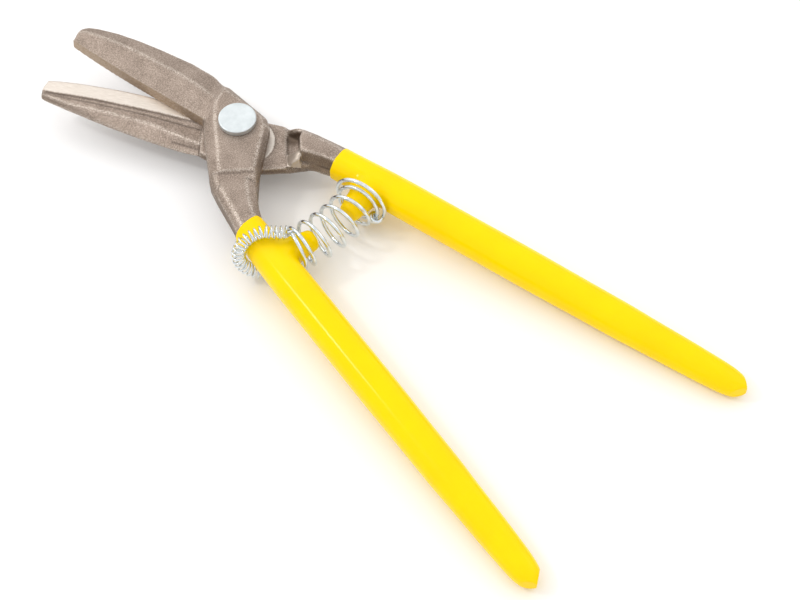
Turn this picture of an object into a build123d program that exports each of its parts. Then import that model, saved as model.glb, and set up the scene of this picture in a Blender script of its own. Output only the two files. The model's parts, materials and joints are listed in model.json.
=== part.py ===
from build123d import *
import math
import os

# Offset hand shears for sheet metal: two forged levers on a bolt, dipped grips, a return spring and its retaining spring.
#
# Lengths are millimetres. The pivot axis is Z and the handles run towards -Y. The levers are modelled about the shear
# plane, the plane in which the two cutting edges pass, and everything is then lifted so that the pivot bolt's rear end
# stands on z = 0. The upper lever carries the blade above the shear plane, the lower lever the blade below it.

# ---------------------------------------------------------------- driving dimensions
BLADE_REACH = 89.0  # pivot axis to the tip of a cutting edge
HANDLE_REACH = 239.0  # pivot axis to the end of a handle
OPEN_ANGLE = 13.2  # between the two cutting tips at rest, degrees

BOSS_HEIGHT = 8.0  # shear plane to the flat round the pivot
BLADE_RIDGE = 6.4  # shear plane to the blade's ridge at its root
BLADE_WIDTH = 22.0  # cutting edge to back at the blade's root
LAND_HEIGHT = 5.2  # ground land above the cutting edge, at the root
LAND_RELIEF = 0.9  # how far the land leans back from the edge
GRIND_STEP = 0.5  # the forged face lies this far below the ground one
LAP_GAP = 0.06  # running gap between the two lap faces

SHANK_HALF_HEIGHT = 6.2  # shear plane to the shank's flat
SHANK_EDGE_HEIGHT = 3.8  # shear plane to the shank's outer corner

BOLT_RADIUS = 5.0
BOLT_FLATS = 9.0  # across the two flats that key it to the upper lever
BOLT_FIT = 0.05  # radial running clearance in the lower lever
HEAD_RADIUS = 8.0
HEAD_HEIGHT = 2.6
HEAD_EDGE = 0.35
WASHER_RADIUS = 9.0
WASHER_THICKNESS = 1.5
NUT_FLATS = 16.0
NUT_HEIGHT = 6.0
BOLT_STANDOUT = 1.0  # bolt beyond the nut
BOLT_CHAMFER = 0.8
SEAT_GAP = 0.05  # between the turning washer and the lower lever

GRIP_WIDTH = 15.6  # across the grip at its fullest
GRIP_ASPECT = 0.97  # height over width
COAT = 1.6  # coating on the tang
COLLAR_COAT = 0.7  # coating at the open end of the grip

PEG_RADIUS = 3.0  # steel peg under the coating
PEG_FIT = 0.03  # radial gap between the peg and its hole in the tang
UPPER_PEG_ROOT = 6.9  # radius of the coated peg where it leaves the grip
LOWER_PEG_ROOT = 7.3
PEG_TIP_RADIUS = 4.3  # coated peg at its tip
PEG_LENGTH = 12.0  # coated peg beyond the grip's side
PEG_STATION = 18.2  # along the grip from its open end

SPRING_WIRE = 1.7
SPRING_RADIUS = 8.86  # mean radius of the return spring's turns
SPRING_END_RADIUS = 11.6  # mean radius of the closed turn on the lower grip
SPRING_TURNS = 5  # open turns between the two closed ones
SPRING_SEAT = 2.3  # middle of the end turns' wire to the grip's side
SPRING_SAG = 2.5  # how far the spring's middle bows away from the pivot
SPRING_PHASE = 0.675  # where round the axis the wire starts, in turns
SPRING_TAIL = 0.4  # how far the last turn runs past a whole one, in turns

KEEPER_COIL = 5.4  # outside diameter of the retaining spring's small turns
KEEPER_WIRE = 0.8
KEEPER_GAP = 0.9  # retaining spring to the coating

# ---------------------------------------------------------------- worked out from them
NUT_RADIUS = NUT_FLATS / math.sqrt(3)
BOLT_END = BOSS_HEIGHT + SEAT_GAP + WASHER_THICKNESS + NUT_HEIGHT + BOLT_STANDOUT
SHEAR_Z = BOLT_END
GROUND = LAP_GAP / 2  # shear plane to each ground face
FORGED = GROUND + GRIND_STEP  # shear plane to each forged inner face
BIG = 400.0

# The upper cutting edge's chord, from the tip towards the pivot, and the direction from it to the blade's back.
UPPER_TIP_ANGLE = 103.7
BLADE_AXIS_ANGLE = UPPER_TIP_ANGLE + OPEN_ANGLE / 2
CHORD_ANGLE = UPPER_TIP_ANGLE - 184.3
CHORD_LENGTH = BLADE_REACH - 14.0


def polar(radius, degrees):
    """Point in the plane of the levers at a radius and an angle from +X."""
    return Vector(radius * math.cos(math.radians(degrees)), radius * math.sin(math.radians(degrees)))


TIP = polar(BLADE_REACH, UPPER_TIP_ANGLE)
CHORD = polar(1, CHORD_ANGLE)
TO_BACK = polar(1, CHORD_ANGLE + 90)


def at(point, z):
    """Plane point lifted to a height above the shear plane."""
    return (point.X, point.Y, z)


def facet_loft(rings):
    """Solid with straight-ruled sides through closed rings of 3-D points."""
    return Solid.make_loft([Polyline(*ring, close=True).wire() for ring in rings], ruled=True)


def half_space(point, direction, z_low, z_high):
    """Block that fills everything beyond a line in the plane, between two heights."""
    angle = math.degrees(math.atan2(direction.Y, direction.X))
    block = Box(BIG, BIG, z_high - z_low, align=(Align.MIN, Align.CENTER, Align.MIN))
    return Pos(point.X, point.Y, z_low) * Rot(0, 0, angle) * block


# ---------------------------------------------------------------- blade
# Share of the cutting chord from the tip, then shares of the blade's width: how far the edge bows out of the chord,
# the ground strip's far side, the crease of the inner face, the ridge of the outer face and the back. The last
# column is the height as a share of the height at the root.
UPPER_BLADE = [
    (0.00, 0.000, 0.209, 0.273, 0.227, 0.364, 0.82),
    (0.03, 0.005, 0.227, 0.300, 0.300, 0.495, 0.86),
    (0.08, 0.015, 0.245, 0.318, 0.359, 0.591, 0.88),
    (0.19, 0.030, 0.273, 0.373, 0.445, 0.732, 0.92),
    (0.31, 0.037, 0.282, 0.427, 0.505, 0.832, 0.95),
    (0.43, 0.039, 0.282, 0.464, 0.545, 0.905, 0.97),
    (0.56, 0.032, 0.282, 0.500, 0.564, 0.964, 0.99),
    (0.68, 0.023, 0.282, 0.536, 0.591, 1.014, 1.00),
    (0.82, 0.014, 0.282, 0.555, 0.582, 1.018, 1.00),
    (1.00, 0.000, 0.282, 0.555, 0.527, 0.927, 1.00),
]
# The lower blade's inner face has a groove beside the strip, then a rib and a second rib before the back.
LOWER_BLADE = [
    (0.00, 0.000, 0.259, 0.305, 0.330, 0.218, 0.352, 0.82),
    (0.03, 0.018, 0.259, 0.335, 0.365, 0.264, 0.385, 0.86),
    (0.08, 0.045, 0.255, 0.372, 0.410, 0.300, 0.425, 0.88),
    (0.19, 0.084, 0.223, 0.412, 0.486, 0.350, 0.515, 0.92),
    (0.31, 0.106, 0.205, 0.425, 0.562, 0.400, 0.605, 0.95),
    (0.43, 0.123, 0.205, 0.434, 0.615, 0.445, 0.688, 0.97),
    (0.56, 0.120, 0.205, 0.460, 0.665, 0.485, 0.765, 0.99),
    (0.68, 0.100, 0.209, 0.505, 0.698, 0.520, 0.825, 1.00),
    (0.82, 0.073, 0.227, 0.595, 0.738, 0.540, 0.888, 1.00),
    (0.93, 0.050, 0.232, 0.685, 0.775, 0.545, 0.915, 1.00),
    (1.09, 0.010, 0.236, 0.760, 0.830, 0.545, 0.910, 1.00),
]
NOSE_SLANT = 0.22  # how far the nose's end runs forward per unit of width
BACK_HEIGHT = 3.4  # parting line at the back, above the shear plane
BACK_THICKNESS = 1.0
CREASE_DEPTH = 1.4  # crease of the inner face below the forged face
GROOVE_DEPTH = 1.0  # groove beside the lower blade's strip below the forged face
RIB_DEPTH = 0.6  # rib beyond the groove below the forged face
SECOND_RIB_DEPTH = 2.7
LOWER_BACK = (4.1, 5.0)  # the lower blade's back, from and to, below the shear plane


def placed(share, across_and_up):
    """Ring of points across a blade's chord, slanted near the nose."""
    ring = []
    for across, up in across_and_up:
        forward = NOSE_SLANT * across * max(0.0, 1 - share) ** 6
        point = TIP + CHORD * (share * CHORD_LENGTH - forward) + TO_BACK * across
        ring.append(at(point, up))
    return ring


def upper_ring(share, bow, strip, crease, ridge, back, height):
    """Section of the upper blade."""
    across_and_up = [
        (-bow * BLADE_WIDTH, GROUND),
        (LAND_RELIEF - bow * BLADE_WIDTH, LAND_HEIGHT * height),
        (ridge * BLADE_WIDTH, BLADE_RIDGE * height),
        (back * BLADE_WIDTH, BACK_HEIGHT + BACK_THICKNESS / 2),
        (back * BLADE_WIDTH, BACK_HEIGHT - BACK_THICKNESS / 2),
        (crease * BLADE_WIDTH, FORGED + CREASE_DEPTH),
        (strip * BLADE_WIDTH + 0.35, FORGED),
        (strip * BLADE_WIDTH, GROUND),
    ]
    return placed(share, across_and_up)


def lower_ring(share, bow, strip, rib_at, second, ridge, back, height):
    """Section of the lower blade, as it is before it is turned under."""
    groove = strip * BLADE_WIDTH + 0.35 + (rib_at - strip) * BLADE_WIDTH * 0.28
    across_and_up = [
        (-bow * BLADE_WIDTH, GROUND),
        (LAND_RELIEF - bow * BLADE_WIDTH, LAND_HEIGHT * height),
        (ridge * BLADE_WIDTH, BLADE_RIDGE * height),
        (back * BLADE_WIDTH, LOWER_BACK[1]),
        (back * BLADE_WIDTH, LOWER_BACK[0]),
        (second * BLADE_WIDTH, FORGED + SECOND_RIB_DEPTH),
        (rib_at * BLADE_WIDTH, FORGED + RIB_DEPTH),
        (groove, FORGED + GROOVE_DEPTH),
        (strip * BLADE_WIDTH + 0.3, FORGED + 0.2),
        (strip * BLADE_WIDTH, GROUND),
    ]
    return placed(share, across_and_up)


def turned_under(shape):
    """The same shape on the other lever: half a turn about the blades' middle line."""
    middle = polar(1, BLADE_AXIS_ANGLE)
    return shape.rotate(Axis((0, 0, 0), (middle.X, middle.Y, 0)), 180)


# ---------------------------------------------------------------- boss
# Corner of the boss's outline, then the matching corner of the flat round the pivot.
UPPER_BOSS = [
    ((11.2, 22.0), (7.6, 17.6)),
    ((11.3, 12.0), (8.6, 10.5)),
    ((11.5, -5.6), (8.9, -5.4)),
    ((9.2, -9.9), (6.8, -8.8)),
    ((-6.0, -21.9), (-5.0, -18.2)),
    ((-13.0, -27.6), (-11.4, -23.2)),
    ((-30.4, -19.4), (-24.6, -17.4)),
    ((-27.3, -12.8), (-22.0, -13.2)),
    ((-15.2, 4.8), (-11.0, 1.4)),
    ((-8.3, 13.4), (-3.4, 11.4)),
    ((0.6, 18.8), (0.9, 15.2)),
]
LOWER_BOSS = [
    ((-18.9, 4.6), (-14.6, 3.4)),
    ((-18.0, 1.2), (-13.4, -0.4)),
    ((-14.6, -10.4), (-10.8, -8.8)),
    ((-6.0, -20.7), (-3.8, -17.6)),
    ((3.6, -29.0), (5.6, -25.6)),
    ((9.4, -33.4), (11.6, -30.0)),
    ((24.6, -30.0), (20.2, -28.6)),
    ((22.2, -18.6), (17.6, -18.2)),
    ((17.5, -11.1), (12.8, -9.6)),
    ((12.8, -3.0), (9.4, -2.4)),
    ((9.4, 7.6), (5.8, 6.4)),
    ((-1.4, 12.6), (-2.6, 10.2)),
    ((-10.0, 12.8), (-9.2, 10.6)),
]
BOSS_EDGE_HEIGHT = 4.6  # widest level of the boss's side
BOSS_DRAFT = 0.99  # outline at the lap face over the widest outline


def boss(corners, side):
    """Boss of a lever: side is +1 above the shear plane, -1 below it."""
    outline = [outer for outer, _ in corners]
    flat = [inner for _, inner in corners]
    rings = [
        [(x * BOSS_DRAFT, y * BOSS_DRAFT, side * GROUND) for x, y in outline],
        [(x, y, side * BOSS_EDGE_HEIGHT) for x, y in outline],
        [(x, y, side * BOSS_HEIGHT) for x, y in flat],
    ]
    return facet_loft(rings)


# ---------------------------------------------------------------- shank and tang
# Middle of the shank, the direction it runs in, half-widths and the flat's inset on each side.
UPPER_SHANK = [
    # x, y, degrees, left, right, flat inset left, flat inset right
    ((-18.6, -18.4), -122.6, 10.6, 10.6, 4.9, 3.0),
    ((-22.4, -24.0), -118.2, 9.4, 8.7, 4.6, 3.0),
    ((-25.6, -30.2), -107.0, 7.9, 7.2, 4.0, 2.9),
    ((-28.1, -36.0), -100.0, 6.9, 6.4, 3.6, 2.7),
]
LOWER_SHANK = [
    ((13.4, -23.0), -64.0, 6.8, 9.4, 2.8, 4.2),
    ((15.4, -28.6), -69.0, 6.7, 8.4, 2.6, 3.8),
    ((17.6, -35.0), -73.0, 6.3, 7.2, 2.5, 3.4),
]
COLLAR_HALF_WIDTH = 6.4  # steel at the open end of a grip
COLLAR_INSET = 2.9
UPPER_COLLAR = (-30.3, -41.5)
LOWER_COLLAR = (19.6, -41.5)
UPPER_HANDLE_ANGLE = -98.7
LOWER_HANDLE_ANGLE = -78.6

# Along the grip as shares of its length: width as a share of the full width.
GRIP_STATIONS = [
    (0.000, 0.900),
    (0.060, 0.940),
    (0.140, 0.995),
    (0.300, 1.000),
    (0.470, 1.000),
    (0.580, 0.972),
    (0.680, 0.950),
    (0.780, 0.885),
    (0.850, 0.845),
    (0.912, 0.790),
    (0.958, 0.715),
    (0.984, 0.560),
    (1.000, 0.270),
]
TANG_END_SHARE = 0.95


def handle_length(collar, degrees):
    """Length from the grip's open end to the handle's end, so that the end lies at the handle's reach."""
    start = Vector(*collar)
    along = polar(1, degrees)
    forward = start.dot(along)
    return -forward + math.sqrt(forward**2 + HANDLE_REACH**2 - start.length**2)


def octagon(centre, degrees, left, right, inset_left, inset_right, edge, flat, lean=0.0):
    """Eight-sided section across a direction: edge and flat are half-heights, lean slants the right side."""
    leftwards = polar(1, degrees + 90)
    middle = Vector(*centre)
    ring = [
        (left, -edge),
        (left, edge),
        (left - inset_left, flat),
        (-right + inset_right, flat),
        (-right + inset_right * lean, edge * (1 - 1.6 * lean)),
        (-right, -edge * (1 - 0.6 * lean)),
        (-right + inset_right, -flat),
        (left - inset_left, -flat),
    ]
    return [at(middle + leftwards * across, up) for across, up in ring]


def width_at(share):
    """Width of the grip at a share of its length."""
    for (a, wide_a), (b, wide_b) in zip(GRIP_STATIONS, GRIP_STATIONS[1:]):
        if a <= share <= b:
            return GRIP_WIDTH * (wide_a + (wide_b - wide_a) * (share - a) / (b - a))
    return GRIP_WIDTH * GRIP_STATIONS[-1][1]


def tang_ring(collar, degrees, length, share, lean):
    """Section of the tang inside the grip."""
    coat = COLLAR_COAT + (COAT - COLLAR_COAT) * min(1.0, share / 0.14)
    half = width_at(share) / 2 - coat
    inset = COLLAR_INSET * half / COLLAR_HALF_WIDTH
    flat = SHANK_HALF_HEIGHT * half / COLLAR_HALF_WIDTH
    edge = SHANK_EDGE_HEIGHT * half / COLLAR_HALF_WIDTH
    middle = Vector(*collar) + polar(length * share, degrees)
    return octagon((middle.X, middle.Y), degrees, half, half, inset, inset, edge * 0.92, flat * 0.96, lean)


def shank(stations, collar, degrees, lean):
    """Shank and tang of a lever, from its boss to the hidden end of its tang."""
    length = handle_length(collar, degrees)
    rings = [
        octagon(centre, turn, left, right, in_left, in_right, SHANK_EDGE_HEIGHT, SHANK_HALF_HEIGHT, lean)
        for centre, turn, left, right, in_left, in_right in stations
    ]
    shares = [s for s, _ in GRIP_STATIONS if s < TANG_END_SHARE] + [TANG_END_SHARE]
    rings += [tang_ring(collar, degrees, length, share, lean) for share in shares]
    return facet_loft(rings)


# ---------------------------------------------------------------- levers
LAP_REACH = 20.2  # pivot axis to where a lever grows to its full thickness
UPPER_LAP_ANGLE = -150.0
LOWER_LAP_ANGLE = -40.8
POCKET_WIDTH = 5.4  # relief beyond the lower lever's lap face
POCKET_DEPTH = 1.8
PAD_CENTRE = (-1.0, -5.0)  # ground pad round the pivot on the lower lever
PAD_RADIUS = 12.8
LUG_PROFILE = [(-0.2, -2.5), (-0.2, 0.2), (5.1, 4.4), (5.6, 4.4), (5.6, -2.5)]
LUG_SPAN = (12.6, 19.2)
WALL_PROFILE = [(0.0, -3.0), (0.0, -0.1), (2.6, 2.4), (5.4, 4.4), (7.0, 4.4), (7.0, -3.0)]
WALL_SPAN = (-0.8, 1.5)
WALL_SLANT = 0.45  # the pocket's far wall follows the shank's outline


def bolt_hole(clearance):
    """Cutter for a plain hole on the pivot axis."""
    return Cylinder(BOLT_RADIUS + clearance, 4 * BOSS_HEIGHT)


def keyed_shape(clearance):
    """Cutter or neck with two flats that stops the bolt from turning in the upper lever."""
    flats = Box(BIG, BOLT_FLATS + 2 * clearance, 4 * BOSS_HEIGHT)
    return Cylinder(BOLT_RADIUS + clearance, 4 * BOSS_HEIGHT) & flats


def upper_lever():
    """Upper forging: blade, boss, shank and tang in one piece."""
    to_shank = polar(1, UPPER_LAP_ANGLE)
    lap_end = polar(LAP_REACH, UPPER_LAP_ANGLE)
    body = shank(UPPER_SHANK, UPPER_COLLAR, UPPER_HANDLE_ANGLE, 0.0)
    # the half below the shear plane starts beyond the lower lever's boss
    body -= half_space(lap_end, -to_shank, -BIG / 2, GROUND)
    body += boss(UPPER_BOSS, 1)
    # the boss's flat drops to the shank's flat at a crease
    crease = Vector(-18.2, -18.2)
    drop = Pos(0, 0, SHANK_HALF_HEIGHT) * half_space(crease, polar(1, -130), 0, BOSS_HEIGHT)
    body -= drop
    body += facet_loft([upper_ring(*station) for station in UPPER_BLADE])
    return body - keyed_shape(LAP_GAP / 2)


def rib(profile, span, slant):
    """Rib in the lower lever's pocket: its profile runs away from the pivot and up, its sides may slant."""
    outwards = polar(1, LOWER_LAP_ANGLE)
    sideways = polar(1, LOWER_LAP_ANGLE - 90)
    rings = []
    for across in span:
        base = outwards * LAP_REACH + sideways * across
        lean = outwards + sideways * slant
        rings.append([at(base + lean * out, up) for out, up in profile])
    return facet_loft(rings)


def lower_lever():
    """Lower forging: blade, boss, shank and tang in one piece."""
    outwards = polar(1, LOWER_LAP_ANGLE)
    lap_end = polar(LAP_REACH, LOWER_LAP_ANGLE)
    shank_start = polar(LAP_REACH + POCKET_WIDTH, LOWER_LAP_ANGLE)
    body = shank(LOWER_SHANK, LOWER_COLLAR, LOWER_HANDLE_ANGLE, 0.55)
    # above the shear plane the shank starts beyond the pocket
    body -= half_space(shank_start, -outwards, -GROUND, BIG / 2)
    body += boss(LOWER_BOSS, -1)
    pocket = half_space(lap_end, outwards, -POCKET_DEPTH, BIG / 2) - half_space(
        shank_start, outwards, -BIG / 2, BIG / 2
    )
    body -= pocket
    # the forged face lies below the ground pad round the pivot
    pad = Pos(PAD_CENTRE[0], PAD_CENTRE[1], 0) * Cylinder(PAD_RADIUS, 4 * BOSS_HEIGHT)
    skim = half_space(lap_end, -outwards, -FORGED, BIG / 2) - pad
    body -= skim
    body += rib(LUG_PROFILE, LUG_SPAN, 0)
    body += rib(WALL_PROFILE, WALL_SPAN, WALL_SLANT)
    body += turned_under(facet_loft([lower_ring(*station) for station in LOWER_BLADE]))
    return body - bolt_hole(BOLT_FIT)


# ---------------------------------------------------------------- pivot
def pivot_bolt():
    """Round-headed bolt whose neck is keyed in the upper lever."""
    head = Pos(0, 0, BOSS_HEIGHT) * Cylinder(
        HEAD_RADIUS, HEAD_HEIGHT, align=(Align.CENTER, Align.CENTER, Align.MIN)
    )
    head = fillet(head.edges().group_by(Axis.Z)[-1], HEAD_EDGE)
    neck = keyed_shape(0) & (Pos(0, 0, BOSS_HEIGHT / 2) * Box(BIG, BIG, BOSS_HEIGHT))
    stem = Cylinder(BOLT_RADIUS, BOLT_END, align=(Align.CENTER, Align.CENTER, Align.MAX))
    stem = chamfer(stem.edges().group_by(Axis.Z)[0], BOLT_CHAMFER)
    return head + neck + stem


def pivot_washer():
    """Flat washer under the nut."""
    ring = Cylinder(WASHER_RADIUS, WASHER_THICKNESS, align=(Align.CENTER, Align.CENTER, Align.MAX))
    ring = chamfer(ring.edges().group_by(Axis.Z)[0], WASHER_THICKNESS / 6)
    hole = Cylinder(BOLT_RADIUS + BOLT_FIT, 4 * WASHER_THICKNESS)
    return Pos(0, 0, -BOSS_HEIGHT - SEAT_GAP) * (ring - hole)


def pivot_nut():
    """Hexagon nut on the bolt's rear end, its corners turned off at both faces."""
    blank = extrude(RegularPolygon(NUT_RADIUS, 6), -NUT_HEIGHT)
    turned = Cylinder(NUT_RADIUS, NUT_HEIGHT, align=(Align.CENTER, Align.CENTER, Align.MAX))
    turned = chamfer(turned.edges().filter_by(GeomType.CIRCLE), 0.6, 1.1)
    hole = Cylinder(BOLT_RADIUS + LAP_GAP / 2, 4 * NUT_HEIGHT)
    return Pos(0, 0, -BOSS_HEIGHT - SEAT_GAP - WASHER_THICKNESS) * ((blank & turned) - hole)


# ---------------------------------------------------------------- grips and pegs
def across_plane(middle, degrees):
    """Plane across a handle, with its x axis level and its y axis up."""
    return Plane(origin=(middle.X, middle.Y, 0), x_dir=at(polar(1, degrees + 90), 0), z_dir=at(polar(1, degrees), 0))


def peg_frame(collar, degrees, side):
    """Plane at a peg's root on the grip's side: z points along the peg, towards the other handle."""
    along = polar(1, degrees)
    inwards = polar(1, degrees + 90 * side)
    length = handle_length(collar, degrees)
    reach = width_at(PEG_STATION / length) / 2
    root = Vector(*collar) + along * PEG_STATION + inwards * reach
    return Plane(origin=at(root, 0), x_dir=at(along, 0), z_dir=at(inwards, 0))


def grip(collar, degrees, side, root_radius, tang):
    """Dipped grip: a sleeve over the tang that also covers the spring peg."""
    length = handle_length(collar, degrees)
    sections = []
    for share, _ in GRIP_STATIONS:
        wide = width_at(share)
        middle = Vector(*collar) + polar(length * share, degrees)
        outline = RectangleRounded(wide, wide * GRIP_ASPECT, wide * 0.45)
        sections.append(across_plane(middle, degrees) * outline)
    sleeve = loft(sections)
    frame = peg_frame(collar, degrees, side)
    sunk = width_at(PEG_STATION / length) / 2
    cone = Cone(
        root_radius,
        PEG_TIP_RADIUS,
        PEG_LENGTH + sunk / 2,
        align=(Align.CENTER, Align.CENTER, Align.MIN),
    )
    cone = frame * Pos(0, 0, -sunk / 2) * fillet(cone.edges().group_by(Axis.Z)[-1], 1.8)
    return (sleeve + cone) - tang - peg(collar, degrees, side, 0)


def peg(collar, degrees, side, fit):
    """Steel peg pressed into the tang, under the coating, or with a fit the hole for it."""
    length = handle_length(collar, degrees)
    frame = peg_frame(collar, degrees, side)
    sunk = width_at(PEG_STATION / length) / 2
    return frame * Pos(0, 0, -sunk) * Cylinder(
        PEG_RADIUS + fit,
        PEG_LENGTH - COAT + sunk,
        align=(Align.CENTER, Align.CENTER, Align.MIN),
    )


# ---------------------------------------------------------------- springs
def seat_of(collar, degrees, side):
    """Where the return spring's axis meets a grip's side, and the direction it leaves in."""
    frame = peg_frame(collar, degrees, side)
    return frame.origin, frame.z_dir


def spring_axis(share):
    """Point on the return spring's bent axis and the axis's direction there, from the upper to the lower grip."""
    start, out = seat_of(UPPER_COLLAR, UPPER_HANDLE_ANGLE, 1)
    end, back = seat_of(LOWER_COLLAR, LOWER_HANDLE_ANGLE, -1)
    start = start + out * SPRING_SEAT
    end = end + back * SPRING_SEAT
    chord = end - start
    half = chord.length / 2
    radius = (half**2 + SPRING_SAG**2) / (2 * SPRING_SAG)
    run = chord.normalized()
    sag = Vector(run.Y, -run.X, 0)
    middle = start + chord / 2 + sag * (SPRING_SAG - radius)
    turned = (2 * share - 1) * math.asin(half / radius)
    point = middle + run * (radius * math.sin(turned)) + sag * (radius * math.cos(turned))
    return point, run * math.cos(turned) - sag * math.sin(turned)


def return_spring():
    """Wire compression spring over both pegs: open turns between two closed ones."""
    length = (spring_axis(1)[0] - spring_axis(0)[0]).length
    closed = SPRING_WIRE * 1.15 / length
    turns = SPRING_TURNS + 2 + SPRING_TAIL
    steps = round(turns * 10)
    points = []
    for step in range(steps + 1):
        turn = turns * step / steps
        if turn <= 1:
            share = closed * turn
        elif turn >= SPRING_TURNS + 1:
            share = 1 - closed * (turns - turn) / (1 + SPRING_TAIL)
        else:
            share = closed + (1 - 2 * closed) * (turn - 1) / SPRING_TURNS
        grow = min(1.0, max(0.0, (turn - SPRING_TURNS - 1.3) / 0.7))
        radius = SPRING_RADIUS + (SPRING_END_RADIUS - SPRING_RADIUS) * grow
        centre, along = spring_axis(share)
        level = Vector(0, 0, 1)
        across = along.cross(level).normalized()
        angle = 2 * math.pi * (turn + SPRING_PHASE)
        points.append(centre + across * (radius * math.cos(angle)) - level * (radius * math.sin(angle)))
    path = Spline(*points)
    section = Plane(origin=points[0], z_dir=path % 0) * Circle(SPRING_WIRE / 2)
    return sweep(section, path, is_frenet=True)


# Middle of the retaining spring, as offsets from the upper grip's middle line: station, across, level.
KEEPER_PATH = [
    (15.0, -6.9, 1.03),
    (12.6, -3.6, 1.03),
    (10.0, 0.0, 1.03),
    (8.4, 5.6, 0.84),
    (7.9, 9.0, 0.46),
    (8.3, 10.1, 0.0),
    (9.8, 9.2, -0.46),
    (12.2, 6.0, -0.84),
    (15.4, 0.4, -1.03),
    (17.6, -3.6, -1.03),
    (19.4, -6.9, -1.03),
]


def retaining_spring():
    """Close-wound tension spring, looped round the upper grip to hold the return spring's end against it."""
    along = polar(1, UPPER_HANDLE_ANGLE)
    outwards = polar(1, UPPER_HANDLE_ANGLE - 90)
    length = handle_length(UPPER_COLLAR, UPPER_HANDLE_ANGLE)
    lift = width_at(12.0 / length) * GRIP_ASPECT / 2 + KEEPER_GAP + KEEPER_COIL / 2
    points = []
    for station, across, level in KEEPER_PATH:
        middle = Vector(*UPPER_COLLAR) + along * station + outwards * across
        points.append(Vector(*at(middle, level * lift)))
    path = Spline(*points)
    section = Plane(origin=points[0], z_dir=path % 0) * Circle(KEEPER_COIL / 2)
    return sweep(section, path, is_frenet=True)


# ---------------------------------------------------------------- output
def build_all():
    """Every piece of the shears, lifted so that the bolt's rear end stands on z = 0."""
    upper = upper_lever() - peg(UPPER_COLLAR, UPPER_HANDLE_ANGLE, 1, PEG_FIT)
    lower = lower_lever() - peg(LOWER_COLLAR, LOWER_HANDLE_ANGLE, -1, PEG_FIT)
    return {
        "lower_lever": lower,
        "upper_lever": upper,
        "pivot_bolt": pivot_bolt(),
        "pivot_washer": pivot_washer(),
        "pivot_nut": pivot_nut(),
        "upper_grip": grip(UPPER_COLLAR, UPPER_HANDLE_ANGLE, 1, UPPER_PEG_ROOT, upper),
        "lower_grip": grip(LOWER_COLLAR, LOWER_HANDLE_ANGLE, -1, LOWER_PEG_ROOT, lower),
        "upper_peg": peg(UPPER_COLLAR, UPPER_HANDLE_ANGLE, 1, 0),
        "lower_peg": peg(LOWER_COLLAR, LOWER_HANDLE_ANGLE, -1, 0),
        "return_spring": return_spring(),
        "retaining_spring": retaining_spring(),
    }


if __name__ == "__main__":
    os.makedirs("parts", exist_ok=True)
    for name, piece in build_all().items():
        lifted = Pos(0, 0, SHEAR_Z) * piece
        lifted.label = name
        export_step(lifted, f"parts/{name}.step")
        print(name, "volume", round(lifted.volume), "valid", lifted.is_valid, "solids", len(lifted.solids()))
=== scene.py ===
# Offset hand shears for sheet metal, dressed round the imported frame. Lengths are metres, in the frame's own
# axes: the pivot axis is Z, the handles run towards -Y, and the pivot bolt's rear end stands on z = 0.

import json
import logging
import math
from dataclasses import dataclass
from enum import Enum

import bmesh
import bpy
import numpy as np
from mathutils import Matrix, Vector, noise
from mathutils.bvhtree import BVHTree
from mathutils.kdtree import KDTree


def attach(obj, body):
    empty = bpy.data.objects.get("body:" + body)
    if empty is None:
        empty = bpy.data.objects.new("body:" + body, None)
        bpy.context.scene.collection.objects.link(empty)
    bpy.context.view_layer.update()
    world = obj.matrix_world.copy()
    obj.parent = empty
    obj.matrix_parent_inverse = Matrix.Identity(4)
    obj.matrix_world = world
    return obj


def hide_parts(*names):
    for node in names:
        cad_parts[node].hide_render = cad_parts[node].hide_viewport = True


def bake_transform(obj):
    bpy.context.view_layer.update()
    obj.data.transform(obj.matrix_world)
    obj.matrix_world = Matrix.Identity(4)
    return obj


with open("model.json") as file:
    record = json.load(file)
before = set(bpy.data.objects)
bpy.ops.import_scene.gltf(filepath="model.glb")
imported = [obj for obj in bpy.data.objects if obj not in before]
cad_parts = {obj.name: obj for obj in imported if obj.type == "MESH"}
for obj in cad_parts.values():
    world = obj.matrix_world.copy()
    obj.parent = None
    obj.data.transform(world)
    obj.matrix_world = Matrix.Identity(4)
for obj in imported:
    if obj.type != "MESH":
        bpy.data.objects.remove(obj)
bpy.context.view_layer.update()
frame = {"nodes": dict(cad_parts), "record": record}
LOG = logging.getLogger("shears")
MM = 0.001
SHEAR_Z = frame["record"]["behaviour"]["joints"][0]["pos_m"][2]
Point = tuple[float, float, float]
PlanPoint = tuple[float, float]
Colour = tuple[float, float, float, float]
WELD = 0.002 * MM
END_STANDOUT = 0.35  # a cut wire end's chamfer: its length and its end's radius, over the wire's radius
END_WIDTH = 0.6
CURVE_STEPS = 40  # places between two points of a smooth path


# ---------------------------------------------------------------- small helpers
def polar(degrees: float) -> np.ndarray:
    """Unit vector in the plane of the levers at an angle from +X, counter-clockwise seen from +Z."""
    return np.array([math.cos(math.radians(degrees)), math.sin(math.radians(degrees)), 0.0])


def eased(share: np.ndarray) -> np.ndarray:
    """Shares from 0 to 1 with a soft start and a soft end."""
    return share * share * (3 - 2 * share)


def new_mesh(name: str, points: list[Point], faces: list[tuple[int, ...]]) -> bpy.types.Mesh:
    """Makes a mesh.

    Args:
        name: the mesh's name.
        points: its vertex places.
        faces: vertex numbers round each face.

    Returns:
        The mesh.
    """
    mesh = bpy.data.meshes.new(name)
    mesh.from_pydata(points, [], faces)
    mesh.update()
    return mesh


def new_piece(name: str, mesh: bpy.types.Mesh, material: bpy.types.Material) -> bpy.types.Object:
    """Links a mesh into the scene as a smooth-shaded piece.

    Args:
        name: the piece's name.
        mesh: its mesh, in the frame's axes.
        material: its finish.

    Returns:
        The new object.
    """
    mesh.shade_smooth()
    mesh.materials.append(material)
    piece = bpy.data.objects.new(name, mesh)
    bpy.context.scene.collection.objects.link(piece)
    return piece


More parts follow.
